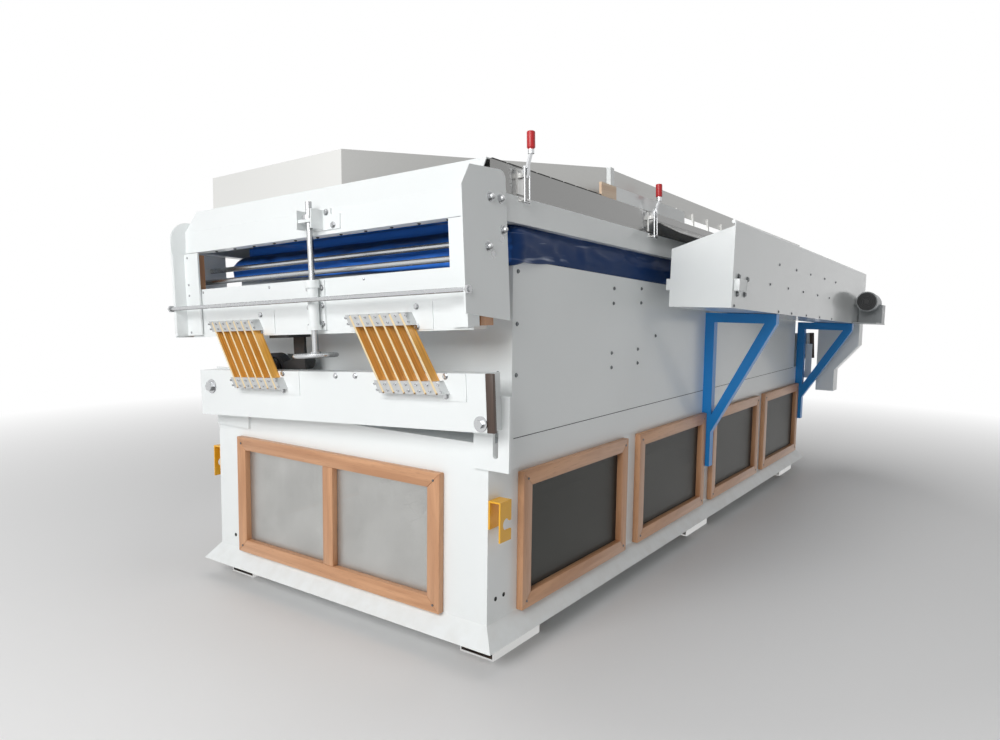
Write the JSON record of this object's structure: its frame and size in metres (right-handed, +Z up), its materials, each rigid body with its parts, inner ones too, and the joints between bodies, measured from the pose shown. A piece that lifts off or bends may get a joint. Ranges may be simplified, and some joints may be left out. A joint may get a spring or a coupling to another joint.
{
  "type": "gravity separator",
  "caption": "Air table that sorts grain by density: shaking mesh deck on leaf springs over a fan cabinet, with side tilt, end lift screw, toggle clamps and a side discharge conveyor.",
  "frame": {"origin": "floor point under the middle of the cabinet, the centre of the corner foot anchor holes", "axes": "+X from the handwheel end to the far end, +Y away from the conveyor side, +Z up"},
  "size_m": [4.461, 2.1446, 1.8374],
  "materials": {
    "white_paint": "satin powder coat",
    "bare_steel": "brushed, lightly worn",
    "zinc_steel": "bright plated",
    "blue_paint": "gloss paint",
    "yellow_paint": "gloss paint",
    "frame_wood": "varnished",
    "dark_wood": "dark stained",
    "mesh": "fine woven wire",
    "deck_mesh": "woven wire",
    "cast_clamp": "sawn and cast",
    "leaf_glass_fibre": "brown laminate with pale edges",
    "blue_cloth": "coated cloth, glossy",
    "cast_iron_black": "painted black",
    "motor_grey": "painted grey",
    "belt_rubber": "matt",
    "red_grip": "moulded grip on a plated lever"
  },
  "bodies": {
    "base": {"feet_channels": "bare_steel", "foot_boards": "frame_wood", "base_skirt": "white_paint", "base_cabinet": "white_paint", "filter_frames": "frame_wood", "filter_screens": "mesh", "upper_chest": "white_paint", "chest_floor": "white_paint", "fan_housings": "white_paint", "fan_bearings": "white_paint", "fan_motor": "motor_grey", "fan_belt": "belt_rubber", "tilt_brackets": "white_paint", "pivot_bolts": "zinc_steel", "lifting_hooks": "yellow_paint", "conveyor_brackets": "blue_paint", "conveyor_trough": "white_paint", "conveyor_spout": "white_paint", "conveyor_belt": "belt_rubber", "conveyor_motor": "motor_grey", "cloth_skirt": "blue_cloth"},
    "fan": {"fan_shaft": "bare_steel", "fan_wheels": "cast_iron_black", "fan_pulley": "cast_iron_black"},
    "fan_motor_spindle": {"fan_motor_pulley": "cast_iron_black"},
    "conveyor_drive": {"conveyor_drive_drum": "zinc_steel"},
    "conveyor_tail": {"conveyor_tail_drum": "zinc_steel"},
    "tilt_frame": {"tilt_beams": "white_paint", "beam_end_boards": "dark_wood", "adjusting_bolts": "zinc_steel", "lower_spring_clamps": "cast_clamp", "leaf_springs": "leaf_glass_fibre", "shaft_bearings": "cast_iron_black", "drive_motor": "motor_grey", "drive_belt": "belt_rubber"},
    "eccentric": {"eccentric_shaft": "bare_steel", "shaft_pulley": "cast_iron_black"},
    "drive_motor_spindle": {"drive_motor_pulley": "cast_iron_black"},
    "shaker_frame": {"spring_plates": "white_paint", "upper_spring_clamps": "cast_clamp", "side_plates": "white_paint", "tie_rods": "zinc_steel", "wood_blocks": "dark_wood", "connecting_rods": "cast_iron_black", "jack_bracket": "white_paint"},
    "deck": {"deck_frame": "white_paint", "deck_tray": "bare_steel", "deck_end_panel": "white_paint", "deck_screen": "deck_mesh", "deck_walls": "bare_steel", "gate_bar": "white_paint", "gate_wood": "frame_wood", "jack_clevis": "white_paint", "clamp_bases": "bare_steel"},
    "lift_screw": {"end_screw": "zinc_steel"},
    "handle_1": {"clamp_handle_1": "red_grip"},
    "handle_2": {"clamp_handle_2": "red_grip"},
    "hook_1": {"clamp_hook_1": "zinc_steel"},
    "hook_2": {"clamp_hook_2": "zinc_steel"}
  },
  "joints": [
    {"name": "side_tilt", "type": "hinge", "parent": "base", "child": "tilt_frame", "pos_m": [0, 0.659, 0.88], "axis": [1, 0, 0], "range_deg": [-2.2, 1.9], "deforming": ["cloth_skirt"]},
    {"name": "deck_shake", "type": "slide", "parent": "tilt_frame", "child": "shaker_frame", "axis": [0, 0.8453, -0.5344], "range_m": [-0.004, 0.004], "stiffness_N_per_m": 1200000, "springref_m": -0.00194, "deforming": ["leaf_springs"]},
    {"name": "deck_end_raise", "type": "hinge", "parent": "shaker_frame", "child": "deck", "pos_m": [2.03605, 0.02256, 1.2903], "axis": [0, 0.9983, -0.0576], "range_deg": [-0.12, 0.9], "deforming": ["cloth_skirt"]},
    {"name": "screw_turn", "type": "hinge", "parent": "deck", "child": "lift_screw", "pos_m": [-2.112, -0.02465, 1.34012], "axis": [0, 0.0576, 0.9983], "continuous": true},
    {"name": "eccentric_turn", "type": "hinge", "parent": "tilt_frame", "child": "eccentric", "pos_m": [0, 0.40388, 0.95481], "axis": [1, 0, 0], "continuous": true},
    {"name": "drive_motor_turn", "type": "hinge", "parent": "tilt_frame", "child": "drive_motor_spindle", "pos_m": [1.882, -0.04105, 1.05559], "axis": [1, 0, 0], "continuous": true},
    {"name": "fan_turn", "type": "hinge", "parent": "base", "child": "fan", "pos_m": [0, 0, 0.432], "axis": [1, 0, 0], "continuous": true},
    {"name": "fan_motor_turn", "type": "hinge", "parent": "base", "child": "fan_motor_spindle", "pos_m": [1.858, -0.52, 0.214], "axis": [1, 0, 0], "continuous": true},
    {"name": "conveyor_drive_turn", "type": "hinge", "parent": "base", "child": "conveyor_drive", "pos_m": [2.0831, -0.996, 1.19949], "axis": [0, 1, 0], "continuous": true},
    {"name": "conveyor_tail_turn", "type": "hinge", "parent": "base", "child": "conveyor_tail", "pos_m": [-0.62589, -0.996, 1.32725], "axis": [0, 1, 0], "continuous": true},
    {"name": "clamp_handle_turn_1", "type": "hinge", "parent": "deck", "child": "handle_1", "pos_m": [-1.82117, -0.77072, 1.6905], "axis": [0.999, -0.0025, -0.0435], "range_deg": [0, 100]},
    {"name": "clamp_hook_turn_1", "type": "hinge", "parent": "handle_1", "child": "hook_1", "pos_m": [-1.82013, -0.77832, 1.71495], "axis": [0.999, -0.0025, -0.0435], "range_deg": [-120, 0]},
    {"name": "clamp_handle_turn_2", "type": "hinge", "parent": "deck", "child": "handle_2", "pos_m": [-0.76618, -0.77337, 1.64451], "axis": [0.999, -0.0025, -0.0435], "range_deg": [0, 100]},
    {"name": "clamp_hook_turn_2", "type": "hinge", "parent": "handle_2", "child": "hook_2", "pos_m": [-0.76513, -0.78097, 1.66897], "axis": [0.999, -0.0025, -0.0435], "range_deg": [-120, 0]}
  ],
  "couplings": [
    {"joint": "drive_motor_turn", "follows": "eccentric_turn", "ratio": 2},
    {"joint": "fan_motor_turn", "follows": "fan_turn", "ratio": 1.7857},
    {"joint": "conveyor_tail_turn", "follows": "conveyor_drive_turn", "ratio": 1},
    {"joint": "clamp_hook_turn_1", "follows": "clamp_handle_turn_1", "ratio": -1.15},
    {"joint": "clamp_hook_turn_2", "follows": "clamp_handle_turn_2", "ratio": -1.15}
  ]
}
